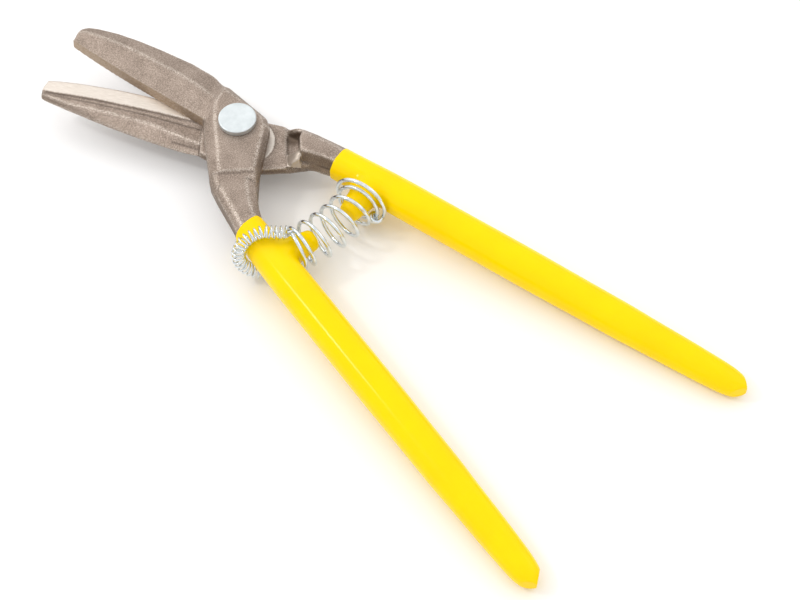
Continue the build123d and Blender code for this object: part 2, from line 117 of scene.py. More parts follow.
def coordinates(mesh: bpy.types.Mesh) -> np.ndarray:
    """Reads the vertex places of a mesh.

    Args:
        mesh: the mesh.

    Returns:
        The places, one row each.
    """
    places = np.empty(len(mesh.vertices) * 3)
    mesh.vertices.foreach_get("co", places)
    return places.reshape(-1, 3)


def set_coordinates(mesh: bpy.types.Mesh, places: np.ndarray) -> None:
    """Writes vertex places back to a mesh."""
    mesh.vertices.foreach_set("co", places.astype(np.float32).ravel())
    mesh.update()


def edge_pairs(mesh: bpy.types.Mesh) -> np.ndarray:
    """Reads the vertex pairs of a mesh's edges.

    Args:
        mesh: the mesh.

    Returns:
        The pairs, one row each.
    """
    pairs = np.empty(len(mesh.edges) * 2, dtype=np.int64)
    mesh.edges.foreach_get("vertices", pairs)
    return pairs.reshape(-1, 2)


def write_mask(mesh: bpy.types.Mesh, name: str, values: np.ndarray) -> None:
    """Stores one number per vertex under a name that a material can read."""
    layer = mesh.attributes.new(name, "FLOAT", "POINT")
    layer.data.foreach_set("value", values.astype(np.float32))


def relaxed(places: np.ndarray, pairs: np.ndarray, share: np.ndarray, rounds: int) -> np.ndarray:
    """Moves each point towards the mean of its neighbours, over and over.

    Args:
        places: vertex places, one row each.
        pairs: vertex pairs of the edges.
        share: how far each vertex goes in a round, from 0 to 1.
        rounds: number of rounds.

    Returns:
        The new places.
    """
    first, second = pairs[:, 0], pairs[:, 1]
    count = len(places)
    degree = np.bincount(first, minlength=count) + np.bincount(second, minlength=count)
    degree = np.maximum(degree, 1)
    places = places.copy()
    for _ in range(rounds):
        for axis in range(3):
            line = places[:, axis]
            total = np.bincount(first, line[second], count) + np.bincount(second, line[first], count)
            places[:, axis] = line + share * (total / degree - line)
    return places


def welded_copy(node: str) -> bpy.types.Mesh:
    """Copies the mesh of a CAD node so that its faces share their corners.

    Args:
        node: the node's name.

    Returns:
        The new mesh.
    """
    shell = bmesh.new()
    shell.from_mesh(frame["nodes"][node].data)
    bmesh.ops.remove_doubles(shell, verts=shell.verts, dist=WELD)
    mesh = bpy.data.meshes.new(f"{node}_welded")
    shell.to_mesh(mesh)
    shell.free()
    return mesh


def voxel_copy(nodes: tuple[str, ...], voxel: float) -> bpy.types.Mesh:
    """Even quad mesh over the joined shape of CAD nodes.

    Args:
        nodes: the CAD nodes' names.
        voxel: side of a voxel.

    Returns:
        A new mesh with no material.
    """
    joined = bmesh.new()
    for node in nodes:
        part = welded_copy(node)
        joined.from_mesh(part)
        bpy.data.meshes.remove(part)
    source = bpy.data.meshes.new("joined")
    joined.to_mesh(source)
    joined.free()
    scratch = bpy.data.objects.new("scratch", source)
    bpy.context.scene.collection.objects.link(scratch)
    remesh = scratch.modifiers.new("even", "REMESH")
    remesh.mode = "VOXEL"
    remesh.voxel_size = voxel
    bpy.context.view_layer.update()
    depsgraph = bpy.context.evaluated_depsgraph_get()
    even = bpy.data.meshes.new_from_object(scratch.evaluated_get(depsgraph))
    bpy.data.objects.remove(scratch)
    bpy.data.meshes.remove(source)
    return even


def wavering(places: np.ndarray, wavelength: float, seed: float) -> np.ndarray:
    """Smooth random number between -1 and 1 at each place, in waves of a given size."""
    scale = 1.0 / wavelength
    return np.array([noise.noise(Vector(p * scale) + Vector((seed, seed, seed))) for p in places])


def directions(path: np.ndarray) -> np.ndarray:
    """Unit direction of a path at each of its places, one row each."""
    along = np.gradient(path, axis=0)
    return along / np.linalg.norm(along, axis=1)[:, None]


def swept_wire(name: str, path: np.ndarray, radius: float, sides: int = 12) -> bpy.types.Mesh:
    """Round wire along a path, with chamfered cut ends.

    Args:
        name: the mesh's name.
        path: points of the wire's middle line, one row each.
        radius: the wire's radius.
        sides: corners of its section.

    Returns:
        The wire's mesh.
    """
    along = directions(path)
    normal = np.cross(along[0], [0.0, 0.0, 1.0])
    if np.linalg.norm(normal) < 0.1:
        normal = np.cross(along[0], [1.0, 0.0, 0.0])
    turn = np.linspace(0, 2 * math.pi, sides, endpoint=False)
    rings = []
    last = len(path) - 1
    for index, (centre, direction) in enumerate(zip(path, along)):
        normal = normal - direction * normal.dot(direction)
        normal /= np.linalg.norm(normal)
        side = np.cross(direction, normal)
        spokes = np.outer(np.cos(turn), normal) + np.outer(np.sin(turn), side)
        if index == 0:
            rings.append(centre - direction * radius * END_STANDOUT + spokes * radius * END_WIDTH)
        rings.append(centre + spokes * radius)
        if index == last:
            rings.append(centre + direction * radius * END_STANDOUT + spokes * radius * END_WIDTH)
    points = np.vstack(rings)
    faces = []
    for ring in range(len(rings) - 1):
        low, high = ring * sides, (ring + 1) * sides
        for corner in range(sides):
            after = (corner + 1) % sides
            faces.append((low + corner, low + after, high + after, high + corner))
    faces.append(tuple(reversed(range(sides))))
    faces.append(tuple(range(len(points) - sides, len(points))))
    return new_mesh(name, points.tolist(), faces)


def smooth_path(points: list[Point], count: int) -> np.ndarray:
    """Evenly spaced places on a smooth curve through points.

    Args:
        points: places that the curve goes through.
        count: how many places to give back.

    Returns:
        The places, one row each.
    """
    knots = np.array(points, dtype=float)
    padded = np.vstack([2 * knots[0] - knots[1], knots, 2 * knots[-1] - knots[-2]])
    fine = []
    for index in range(1, len(padded) - 2):
        before, here, there, beyond = padded[index - 1 : index + 3]
        for t in np.linspace(0, 1, CURVE_STEPS, endpoint=False):
            bend = 2 * before - 5 * here + 4 * there - beyond
            twist = 3 * here - before - 3 * there + beyond
            fine.append(0.5 * (2 * here + (there - before) * t + bend * t**2 + twist * t**3))
    fine.append(knots[-1])
    line = np.array(fine)
    run = np.concatenate([[0], np.cumsum(np.linalg.norm(np.diff(line, axis=0), axis=1))])
    even = np.linspace(0, run[-1], count)
    return np.column_stack([np.interp(even, run, line[:, axis]) for axis in range(3)])


def wound_on(path: np.ndarray, radius: float, turns: int, start: float, up: np.ndarray) -> np.ndarray:
    """Right-hand helix wound round a path.

    Args:
        path: middle line of the winding, one row per place of the helix.
        radius: distance from the middle line.
        turns: turns over the whole path.
        start: where round the path it starts, in turns.
        up: direction that turns are counted from.

    Returns:
        The helix, one row per row of the path.
    """
    along = directions(path)
    angle = 2 * math.pi * (start + turns * np.linspace(0, 1, len(path)))
    first = up - along * (along @ up)[:, None]
    first /= np.linalg.norm(first, axis=1)[:, None]
    second = np.cross(along, first)
    return path + radius * (first * np.cos(angle)[:, None] + second * np.sin(angle)[:, None])


# ---------------------------------------------------------------- shader node helpers
class Nodes:
    """A node tree that is being wired up."""

    def __init__(self, tree: bpy.types.NodeTree) -> None:
        """Keeps the tree that nodes are added to."""
        self.tree = tree

    def add(self, kind: str, **settings: object) -> bpy.types.Node:
        """Adds a node.

        Args:
            kind: the node's Blender type.
            settings: attributes of the node to set.

        Returns:
            The new node.
        """
        node = self.tree.nodes.new(kind)
        for name, value in settings.items():
            setattr(node, name, value)
        return node

    def link(self, source: bpy.types.NodeSocket, target: bpy.types.NodeSocket) -> None:
        """Joins two sockets."""
        self.tree.links.new(source, target)

    def value(self, target: bpy.types.NodeSocket, what: object) -> None:
        """Sets a socket to a constant or joins it to another socket.

        Args:
            target: the socket.
            what: the constant or the other socket.
        """
        if isinstance(what, bpy.types.NodeSocket):
            self.link(what, target)
        else:
            target.default_value = what

    def math(self, operation: str, first: object, second: object = 0.0) -> bpy.types.NodeSocket:
        """Adds a Math node.

        Args:
            operation: the operation's Blender name.
            first: number or socket.
            second: number or socket.

        Returns:
            The result's socket.
        """
        node = self.add("ShaderNodeMath", operation=operation)
        self.value(node.inputs[0], first)
        self.value(node.inputs[1], second)
        return node.outputs[0]

    def remap(self, source: bpy.types.NodeSocket, low: float, high: float, to_low: float = 0.0,
              to_high: float = 1.0) -> bpy.types.NodeSocket:
        """Stretches a range of values onto another one, clamped.

        Args:
            source: the value.
            low: value that becomes to_low.
            high: value that becomes to_high.
            to_low: result at low.
            to_high: result at high.

        Returns:
            The result's socket.
        """
        node = self.add("ShaderNodeMapRange")
        self.link(source, node.inputs["Value"])
        for name, number in (("From Min", low), ("From Max", high), ("To Min", to_low), ("To Max", to_high)):
            node.inputs[name].default_value = number
        return node.outputs["Result"]

    def mix(self, factor: object, first: object, second: object) -> bpy.types.NodeSocket:
        """Mixes two colours.

        Args:
            factor: number or socket.
            first: colour or socket at 0.
            second: colour or socket at 1.

        Returns:
            The result's socket.
        """
        node = self.add("ShaderNodeMix", data_type="RGBA")
        self.value(node.inputs[0], factor)
        self.value(node.inputs[6], first)
        self.value(node.inputs[7], second)
        return node.outputs[2]

    def mask(self, name: str) -> bpy.types.NodeSocket:
        """Number stored on the mesh's vertices under a name."""
        return self.add("ShaderNodeAttribute", attribute_name=name).outputs["Fac"]

    def place(self, stretch: Point = (1.0, 1.0, 1.0), turn: float = 0.0) -> bpy.types.NodeSocket:
        """The surface's own coordinates, turned about Z and stretched.

        Args:
            stretch: scale along each axis.
            turn: turn about Z in degrees.

        Returns:
            The coordinate socket.
        """
        source = self.add("ShaderNodeTexCoord").outputs["Object"]
        mapping = self.add("ShaderNodeMapping", vector_type="TEXTURE")
        mapping.inputs["Rotation"].default_value = (0.0, 0.0, math.radians(turn))
        mapping.inputs["Scale"].default_value = tuple(1.0 / s for s in stretch)
        self.link(source, mapping.inputs["Vector"])
        return mapping.outputs["Vector"]

    def noise(self, where: bpy.types.NodeSocket, scale: object, detail: float = 3.0,
              rough: float = 0.55) -> bpy.types.NodeSocket:
        """Adds a noise texture.

        Args:
            where: coordinates.
            scale: waves per metre.
            detail: finer layers.
            rough: weight of the finer layers.

        Returns:
            The noise's value.
        """
        node = self.add("ShaderNodeTexNoise")
        self.link(where, node.inputs["Vector"])
        self.value(node.inputs["Scale"], scale)
        node.inputs["Detail"].default_value = detail
        node.inputs["Roughness"].default_value = rough
        return node.outputs["Fac"]


class Effect(Enum):
    """Shader groups that several finishes share."""

    GRAIN = "blast_grain"
    DULLING = "dulling"
    LATHE = "lathe_lines"


def group_tree(effect: Effect, inputs: dict[str, float], outputs: list[str]) -> Nodes:
    """Starts a shader group with named sockets.

    Args:
        effect: which group.
        inputs: names and default values.
        outputs: names of its values.

    Returns:
        The group's nodes, with its input and output nodes in place.
    """
    tree = bpy.data.node_groups.new(effect.value, "ShaderNodeTree")
    for name, default in inputs.items():
        socket = tree.interface.new_socket(name, in_out="INPUT", socket_type="NodeSocketFloat")
        socket.default_value = default
    for name in outputs:
        tree.interface.new_socket(name, in_out="OUTPUT", socket_type="NodeSocketFloat")
    return Nodes(tree)


def build_grain() -> None:
    """Fine pitted grain of a blasted or moulded skin: a height and a speckle mask."""
    nodes = group_tree(Effect.GRAIN, {"Scale": 1600.0, "Depth": 1.0}, ["Height", "Speckle"])
    source, sink = nodes.add("NodeGroupInput"), nodes.add("NodeGroupOutput")
    where = nodes.place()
    fine = nodes.noise(where, source.outputs["Scale"], 2.0, 0.6)
    coarse = nodes.noise(where, nodes.math("MULTIPLY", source.outputs["Scale"], 0.32), 2.0, 0.5)
    height = nodes.math("ADD", nodes.math("MULTIPLY", fine, 0.6), nodes.math("MULTIPLY", coarse, 0.4))
    nodes.link(nodes.math("MULTIPLY", height, source.outputs["Depth"]), sink.inputs["Height"])
    nodes.link(nodes.remap(fine, 0.40, 0.66), sink.inputs["Speckle"])


def build_dulling() -> None:
    """Soft patches where handling has dulled a surface."""
    nodes = group_tree(Effect.DULLING, {"Scale": 90.0, "Amount": 1.0}, ["Mask"])
    source, sink = nodes.add("NodeGroupInput"), nodes.add("NodeGroupOutput")
    cloud = nodes.noise(nodes.place(), source.outputs["Scale"], 4.0, 0.55)
    cloud = nodes.remap(cloud, 0.36, 0.68)
    nodes.link(nodes.math("MULTIPLY", cloud, source.outputs["Amount"]), sink.inputs["Mask"])


def build_lathe() -> None:
    """Concentric tool lines round the pivot axis: a height and a mask."""
    nodes = group_tree(Effect.LATHE, {"Pitch": 0.0004, "Depth": 1.0}, ["Height", "Mask"])
    source, sink = nodes.add("NodeGroupInput"), nodes.add("NodeGroupOutput")
    where = nodes.add("ShaderNodeTexCoord").outputs["Object"]
    parts = nodes.add("ShaderNodeSeparateXYZ")
    nodes.link(where, parts.inputs[0])
    squares = [nodes.math("POWER", parts.outputs[axis], 2.0) for axis in (0, 1)]
    radius = nodes.math("SQRT", nodes.math("ADD", *squares))
    waver = nodes.math("MULTIPLY", nodes.noise(where, 260.0, 2.0), 0.00018)
    phase = nodes.math("DIVIDE", nodes.math("ADD", radius, waver), source.outputs["Pitch"])
    wave = nodes.math("SINE", nodes.math("MULTIPLY", phase, 2 * math.pi))
    nodes.link(nodes.math("MULTIPLY", wave, source.outputs["Depth"]), sink.inputs["Height"])
    nodes.link(nodes.remap(wave, -1.0, 1.0), sink.inputs["Mask"])


# ---------------------------------------------------------------- finishes
@dataclass(frozen=True)
class Finish:
    """A material for one finish of the shears."""

    name: str

    def start(self) -> tuple[bpy.types.Material, Nodes, bpy.types.Node]:
        """Makes the material.

        Returns:
            The material, its nodes and its shader.
        """
        material = bpy.data.materials.new(self.name)
        material.use_nodes = True
        nodes = Nodes(material.node_tree)
        return material, nodes, material.node_tree.nodes["Principled BSDF"]

    @staticmethod
    def effect(nodes: Nodes, effect: Effect, **inputs: float) -> bpy.types.Node:
        """Places a shared shader group.

        Args:
            nodes: the material's nodes.
            effect: which group.
            inputs: values of its inputs.

        Returns:
            The group's node.
        """
        node = nodes.add("ShaderNodeGroup", node_tree=bpy.data.node_groups[effect.value])
        for name, value in inputs.items():
            node.inputs[name].default_value = value
        return node

    @staticmethod
    def bump(nodes: Nodes, shader: bpy.types.Node, height: bpy.types.NodeSocket, distance: float) -> None:
        """Gives the shader a bumped normal.

        Args:
            nodes: the material's nodes.
            shader: the material's shader.
            height: the height's socket.
            distance: height of one unit.
        """
        node = nodes.add("ShaderNodeBump")
        node.inputs["Strength"].default_value = 1.0
        node.inputs["Distance"].default_value = distance
        nodes.link(height, node.inputs["Height"])
        nodes.link(node.outputs["Normal"], shader.inputs["Normal"])


@dataclass(frozen=True)
class ForgedSteel(Finish):
    """Bead-blasted drop forging, with ground cutting faces, ridges burnished smoother and lightened with a
    painted highlight, and painted shade in its creases, on its steep sides, in the pocket and on its cutting
    lands.
    """

    dark: Colour = (0.225, 0.174, 0.138, 1.0)
    light: Colour = (0.62, 0.51, 0.435, 1.0)
    # The next colour is a painted highlight along the ridges, and the two after it are painted shade: on
    # steep sides and in the pocket, and in the creases.
    ridge_highlight: Colour = (0.74, 0.655, 0.575, 1.0)
    painted_shade: Colour = (0.150, 0.108, 0.076, 1.0)
    crease_shade: Colour = (0.055, 0.040, 0.030, 1.0)
    ground: Colour = (0.70, 0.635, 0.57, 1.0)
    # The cutting lands' darker brown is painted shade and reflection.
    land_shade: Colour = (0.30, 0.22, 0.145, 1.0)
    stroke: float = -59.0  # direction of the grinding scratches from +X, in degrees
    relief: float = 0.16 * MM

    def build(self) -> bpy.types.Material:
        """Wires up the material.

        Returns:
            The material.
        """
        material, nodes, shader = self.start()
        grain = self.effect(nodes, Effect.GRAIN, Scale=2200.0, Depth=1.0)
        patches = self.effect(nodes, Effect.DULLING, Scale=120.0, Amount=1.0)
        tone = nodes.math("ADD", nodes.math("MULTIPLY", grain.outputs["Speckle"], 0.60),
                          nodes.math("MULTIPLY", patches.outputs["Mask"], 0.20))
        skin = nodes.mix(tone, self.dark, self.light)
        # Painted shade on steep sides and in the pocket, then a painted highlight along the ridges, broken up
        # by the speckle, then painted shade in the creases.
        skin = nodes.mix(nodes.mask("painted_shade"), skin, self.painted_shade)
        highlight_breakup = nodes.remap(grain.outputs["Speckle"], 0.2, 0.9, 0.12, 0.8)
        ridge_highlight = nodes.math("MULTIPLY", nodes.mask("ridge_highlight"), highlight_breakup)
        skin = nodes.mix(ridge_highlight, skin, self.ridge_highlight)
        skin = nodes.mix(nodes.mask("crease_shade"), skin, self.crease_shade)
        streak = nodes.noise(nodes.place((0.10, 1.0, 1.0), self.stroke), 2600.0, 2.0, 0.6)
        streak = nodes.remap(streak, 0.34, 0.68)
        # Grinding streaks darken the ground faces towards the lands' colour; the cutting lands, and the lug
        # by half, get that painted shade, lightened along the streaks.
        ground = nodes.mix(nodes.math("MULTIPLY", streak, 0.20), self.ground, self.land_shade)
        land_shade = nodes.mix(nodes.math("MULTIPLY", streak, 0.5), self.land_shade, self.light)
        ground = nodes.mix(nodes.mask("land_shade"), ground, land_shade)
        bare = nodes.mask("ground")
        nodes.link(nodes.mix(bare, skin, ground), shader.inputs["Base Color"])
        # Roughness drops along the ridges that carry the painted highlight and in the dulled patches.
        worn = nodes.math("ADD", ridge_highlight, nodes.math("MULTIPLY", patches.outputs["Mask"], 0.2))
        rough_skin = nodes.remap(worn, 0.0, 1.2, 0.56, 0.40)
        rough_bare = nodes.remap(streak, 0.0, 1.0, 0.34, 0.46)
        rough = nodes.add("ShaderNodeMix", data_type="FLOAT")
        nodes.link(bare, rough.inputs[0])
        nodes.link(rough_skin, rough.inputs[2])
        nodes.link(rough_bare, rough.inputs[3])
        nodes.link(rough.outputs[0], shader.inputs["Roughness"])
        shader.inputs["Metallic"].default_value = 0.82
        pits = nodes.math("MULTIPLY", grain.outputs["Height"], nodes.math("SUBTRACT", 1.0, bare))
        scratches = nodes.math("MULTIPLY", nodes.math("MULTIPLY", streak, 0.12), bare)
        self.bump(nodes, shader, nodes.math("ADD", pits, scratches), self.relief)
        return material


@dataclass(frozen=True)
class ZincPlate(Finish):
    """Bright passivated zinc on turned steel."""

    tint: Colour = (0.68, 0.722, 0.735, 1.0)
    dulled: Colour = (0.585, 0.63, 0.64, 1.0)
    line_pitch: float = 0.52 * MM
    relief: float = 0.0045 * MM

    def build(self) -> bpy.types.Material:
        """Wires up the material.

        Returns:
            The material.
        """
        material, nodes, shader = self.start()
        lathe = self.effect(nodes, Effect.LATHE, Pitch=self.line_pitch, Depth=1.0)
        patches = self.effect(nodes, Effect.DULLING, Scale=260.0, Amount=0.8)
        tone = nodes.math("ADD", nodes.math("MULTIPLY", lathe.outputs["Mask"], 0.16), patches.outputs["Mask"])
        nodes.link(nodes.mix(tone, self.tint, self.dulled), shader.inputs["Base Color"])
        nodes.link(nodes.remap(patches.outputs["Mask"], 0.0, 1.0, 0.30, 0.42), shader.inputs["Roughness"])
        shader.inputs["Metallic"].default_value = 0.85
        self.bump(nodes, shader, lathe.outputs["Height"], self.relief)
        return material


@dataclass(frozen=True)
class SpringWire(Finish):
    """Bright zinc-plated spring wire."""

    bright: Colour = (0.80, 0.845, 0.87, 1.0)
    dulled: Colour = (0.58, 0.63, 0.66, 1.0)

    def build(self) -> bpy.types.Material:
        """Wires up the material.

        Returns:
            The material.
        """
        material, nodes, shader = self.start()
        patches = self.effect(nodes, Effect.DULLING, Scale=420.0, Amount=0.7)
        nodes.link(nodes.mix(patches.outputs["Mask"], self.bright, self.dulled), shader.inputs["Base Color"])
        nodes.link(nodes.remap(patches.outputs["Mask"], 0.0, 1.0, 0.07, 0.18), shader.inputs["Roughness"])
        shader.inputs["Metallic"].default_value = 1.0
        return material


@dataclass(frozen=True)
class DippedVinyl(Finish):
    """Glossy dip-moulded vinyl."""

    colour: Colour = (1.0, 0.700, 0.0, 1.0)
    deep: Colour = (0.99, 0.620, 0.0, 1.0)
    relief: float = 0.012 * MM

    def build(self) -> bpy.types.Material:
        """Wires up the material.

        Returns:
            The material.
        """
        material, nodes, shader = self.start()
        skin = self.effect(nodes, Effect.GRAIN, Scale=420.0, Depth=1.0)
        patches = self.effect(nodes, Effect.DULLING, Scale=60.0, Amount=1.0)
        nodes.link(nodes.mix(nodes.math("MULTIPLY", patches.outputs["Mask"], 0.5), self.colour, self.deep),
                   shader.inputs["Base Color"])
        nodes.link(nodes.remap(patches.outputs["Mask"], 0.0, 1.0, 0.12, 0.22), shader.inputs["Roughness"])
        shader.inputs["Specular IOR Level"].default_value = 0.12
        self.bump(nodes, shader, skin.outputs["Height"], self.relief)
        return material


@dataclass(frozen=True)
class TurnedSteel(Finish):
    """Plain turned steel of the pegs."""

    dark: Colour = (0.42, 0.42, 0.43, 1.0)
    light: Colour = (0.55, 0.55, 0.56, 1.0)
    relief: float = 0.02 * MM

    def build(self) -> bpy.types.Material:
        """Wires up the material.

        Returns:
            The material.
        """
        material, nodes, shader = self.start()
        grain = self.effect(nodes, Effect.GRAIN, Scale=2200.0, Depth=0.6)
        nodes.link(nodes.mix(grain.outputs["Speckle"], self.dark, self.light), shader.inputs["Base Color"])
        shader.inputs["Metallic"].default_value = 1.0
        shader.inputs["Roughness"].default_value = 0.36
        self.bump(nodes, shader, grain.outputs["Height"], self.relief)
        return material


@dataclass(frozen=True)
class PaleTable(Finish):
    """Plain pale table top."""

    colour: Colour = (0.955, 0.945, 0.940, 1.0)
    worn: Colour = (0.945, 0.935, 0.932, 1.0)

    def build(self) -> bpy.types.Material:
        """Wires up the material.

        Returns:
            The material.
        """
        material, nodes, shader = self.start()
        patches = self.effect(nodes, Effect.DULLING, Scale=12.0, Amount=0.25)
        nodes.link(nodes.mix(patches.outputs["Mask"], self.colour, self.worn), shader.inputs["Base Color"])
        shader.inputs["Roughness"].default_value = 0.9
        shader.inputs["Specular IOR Level"].default_value = 0.1
        return material


# ---------------------------------------------------------------- handles
@dataclass(frozen=True)
class Handle:
    """Where a handle lies: its grip's open end, its direction and the side its spring peg is on."""

    collar: PlanPoint
    degrees: float
    peg_side: int
    body: str

    @property
    def along(self) -> np.ndarray:
        """Direction from the open end towards the handle's end."""
        return polar(self.degrees)

    @property
    def inwards(self) -> np.ndarray:
        """Direction towards the other handle."""
        return polar(self.degrees + 90 * self.peg_side)

    def at(self, station: float, inwards: float = 0.0, up: float = 0.0) -> np.ndarray:
        """Place at distances along the handle, towards the other handle and above the shear plane."""
        start = np.array([self.collar[0], self.collar[1], SHEAR_Z])
        return start + self.along * station + self.inwards * inwards + np.array([0.0, 0.0, up])


UPPER_HANDLE = Handle((-30.3 * MM, -41.5 * MM), -98.7, 1, "upper_half")
LOWER_HANDLE = Handle((19.6 * MM, -41.5 * MM), -78.6, -1, "lower_half")
PEG_STATION = 18.2 * MM
PEG_REACH = 7.52 * MM


# ---------------------------------------------------------------- levers
# Where a forging's forms flow into each other: lines in the plane of the levers and reaches, in millimetres.
UPPER_MELTS = (
    (((-8.3, 13.4), (0.6, 18.8), (11.2, 22.0)), 4.2),
    (((-27.3, -12.8), (-30.4, -19.4)), 3.6),
    (((-13.0, -27.6), (-6.0, -21.9)), 3.6),
)
LOWER_MELTS = ((((5.0, -32.0), (8.6, -34.5), (11.0, -35.0)), 3.8),)
# Middle of the painted shade in the lower lever's pocket.
LOWER_POCKET = (15.2 * MM, -17.3 * MM, SHEAR_Z - 1.2 * MM)
FLAT_FOLD = 0.965  # two faces whose normals agree more than this have no fold between them
FOLD_STEP = 0.5 * MM


@dataclass
class Lever:
    """A forged lever: its skin is softly rounded and its ground faces stay crisp."""

    name: str
    node: str
    body: str
    edge_side: np.ndarray
    lug: bool
    handle: Handle
    melts: tuple[tuple[tuple[PlanPoint, ...], float], ...] = ()
    melt_from: float = 3.0 * MM
    # Where painted shade sits in a pocket, how far it reaches and how dark it gets.
    pocket: Point | None = None
    pocket_reach: float = 3.4 * MM
    pocket_core: float = 1.6
    pocket_dark: float = 0.9

    # How evenly and how softly the skin runs.
    voxel: float = 0.44 * MM
    ground_rounds: int = 2
    ground_share: float = 0.5
    guard_rounds: int = 4
    forged_rounds: int = 18
    forged_share: float = 0.55
    lug_rounds: int = 16
    lug_share: float = 0.8
    melt_rounds: int = 70
    melt_share: float = 0.95
    unevenness: float = 0.07 * MM
    coarse_swell: float = 5.5 * MM
    fine_swell: float = 2.2 * MM
    seeds: tuple[float, float] = (3.1, 9.7)
    clearance: float = 0.01 * MM
    tang_start: float = 0.5 * MM
    tang_run: float = 0.6 * MM
    tang_inset: float = 0.3 * MM

    # Which faces are ground.
    lap_degrees: float = -40.8
    lap_depth: float = 0.15 * MM
    lap_radius: float = 23 * MM
    lap_reach: float = 0.22 * MM
    land_from: float = 12 * MM
    lug_from: float = 20.3 * MM
    lug_to: float = 26.2 * MM
    lug_sides: tuple[float, float] = (12.4 * MM, 19.4 * MM)
    lug_level: float = 0.3 * MM
    level_normal: float = 0.98
    land_normal: float = 0.8

    # How wide and how strong the painted highlight on the ridges is, and the painted shade in the creases, on
    # the cutting lands, on steep sides and in the pocket.
    ridge_width: float = 0.85 * MM
    ridge_melt: float = 0.75
    crease_width: float = 0.42 * MM
    crease_dark: float = 0.75
    crease_melt: float = 0.9
    lug_land_shade: float = 0.5
    steep_shade_from: float = 1.25
    steep_shade_rate: float = 1.5
    steep_shade_dark: float = 0.72
    darkest: float = 0.92

    def melted(self, places: np.ndarray) -> np.ndarray:
        """Where the forging flows softly from one form into the next.

        Args:
            places: vertex places.

        Returns:
            One number per place, from 0 to 1.
        """
        soft = np.zeros(len(places))
        for line, reach in self.melts:
            for start, end in zip(line[:-1], line[1:]):
                begin, run = np.array(start) * MM, (np.array(end) - np.array(start)) * MM
                offset = places[:, :2] - begin
                share = np.clip(offset @ run / (run @ run), 0, 1)
                away = np.linalg.norm(offset - share[:, None] * run, axis=1)
                soft = np.maximum(soft, np.clip(1 - away / (reach * MM), 0, 1))
        soft[places[:, 2] < SHEAR_Z + self.melt_from] = 0
        return eased(soft)

    def shaded(self, places: np.ndarray) -> np.ndarray:
        """Tells where shade is painted in the pocket.

        Args:
            places: vertex places.

        Returns:
            One number per place, from 0 to 1.
        """
        if self.pocket is None:
            return np.zeros(len(places))
        away = np.linalg.norm(places - np.array(self.pocket), axis=1)
        return np.clip(self.pocket_core - away / self.pocket_reach, 0, 1) * self.pocket_dark

    def classes(self, source: bpy.types.Mesh) -> tuple[np.ndarray, np.ndarray, np.ndarray]:
        """Tells the ground faces of the CAD mesh from the forged ones.

        Args:
            source: the CAD node's mesh.

        Returns:
            Three masks per face: ground at all, ground cutting lands that get painted shade, and ground on
                the soft lug.
        """
        count = len(source.polygons)
        normals, centres = np.empty(count * 3), np.empty(count * 3)
        source.polygons.foreach_get("normal", normals)
        source.polygons.foreach_get("center", centres)
        normals, centres = normals.reshape(-1, 3), centres.reshape(-1, 3)
        lap = np.abs(normals[:, 2]) > self.level_normal
        lap &= np.abs(centres[:, 2] - SHEAR_Z) < self.lap_depth
        lap &= (np.hypot(centres[:, 0], centres[:, 1]) < self.lap_radius) | (centres[:, 1] > 0)
        land_shade = (normals @ self.edge_side > self.land_normal) & (centres[:, 1] > self.land_from)
        ground = lap | land_shade
        lug = np.zeros(count, dtype=bool)
        if self.lug:
            out = centres @ polar(self.lap_degrees)
            across = centres @ polar(self.lap_degrees - 90)
            lug = (
                (out > self.lug_from)
                & (out < self.lug_to)
                & (across > self.lug_sides[0])
                & (across < self.lug_sides[1])
                & (centres[:, 2] > SHEAR_Z + self.lug_level)
            )
        return ground | lug, land_shade, lug & ~lap

    @staticmethod
    def folds(source: bpy.types.Mesh, ground: np.ndarray) -> tuple[list[np.ndarray], list[np.ndarray]]:
        """Points along the CAD mesh's folds.

        Args:
            source: the CAD node's mesh.
            ground: which of its faces are ground.

        Returns:
            Points on the forging's outward ridges and points in its creases.
        """
        owners: dict[tuple[int, int], list[int]] = {}
        for face in source.polygons:
            for key in face.edge_keys:
                owners.setdefault(key, []).append(face.index)
        ridges, creases = [], []
        for key, pair in owners.items():
            if len(pair) != 2:
                continue
            one, two = source.polygons[pair[0]], source.polygons[pair[1]]
            if one.normal.dot(two.normal) > FLAT_FOLD:
                continue
            start, end = (np.array(source.vertices[index].co) for index in key)
            steps = max(2, int(np.linalg.norm(end - start) / FOLD_STEP))
            points = [start + (end - start) * t for t in np.linspace(0, 1, steps)]
            if (two.center - one.center).dot(one.normal) > 0:
                creases.extend(points)
            elif not ground[pair[0]] and not ground[pair[1]]:
                ridges.extend(points)
        return ridges, creases

    @staticmethod
    def nearness(places: np.ndarray, points: list[np.ndarray], width: float) -> np.ndarray:
        """How near each place is to the closest of some points, from 1 on it to 0 far away.

        Args:
            places: vertex places.
            points: the points.
            width: distance at which it has dropped to about a third.

        Returns:
            One number per place.
        """
        LOG.info("%d fold points", len(points))
        tree = KDTree(len(points))
        for index, point in enumerate(points):
            tree.insert(point, index)
        tree.balance()
        distance = np.array([tree.find(place)[2] for place in places])
        return np.exp(-((distance / width) ** 2))

    def build(self, material: bpy.types.Material) -> bpy.types.Object:
        """Makes the lever's piece.

        Args:
            material: the forging's material.

        Returns:
            The piece.
        """
        source = welded_copy(self.node)
        ground_faces, land_faces, lug_faces = self.classes(source)
        mesh = voxel_copy((self.node,), self.voxel)
        places = coordinates(mesh)
        corners = [vertex.co[:] for vertex in source.vertices]
        tree = BVHTree.FromPolygons(corners, [tuple(face.vertices) for face in source.polygons])
        nearest = np.array([tree.find_nearest(place)[2] for place in places])
        ground = ground_faces[nearest].astype(float)
        land_shade = land_faces[nearest].astype(float)
        ridges, creases = self.folds(source, ground_faces)
        melt = self.melted(places)
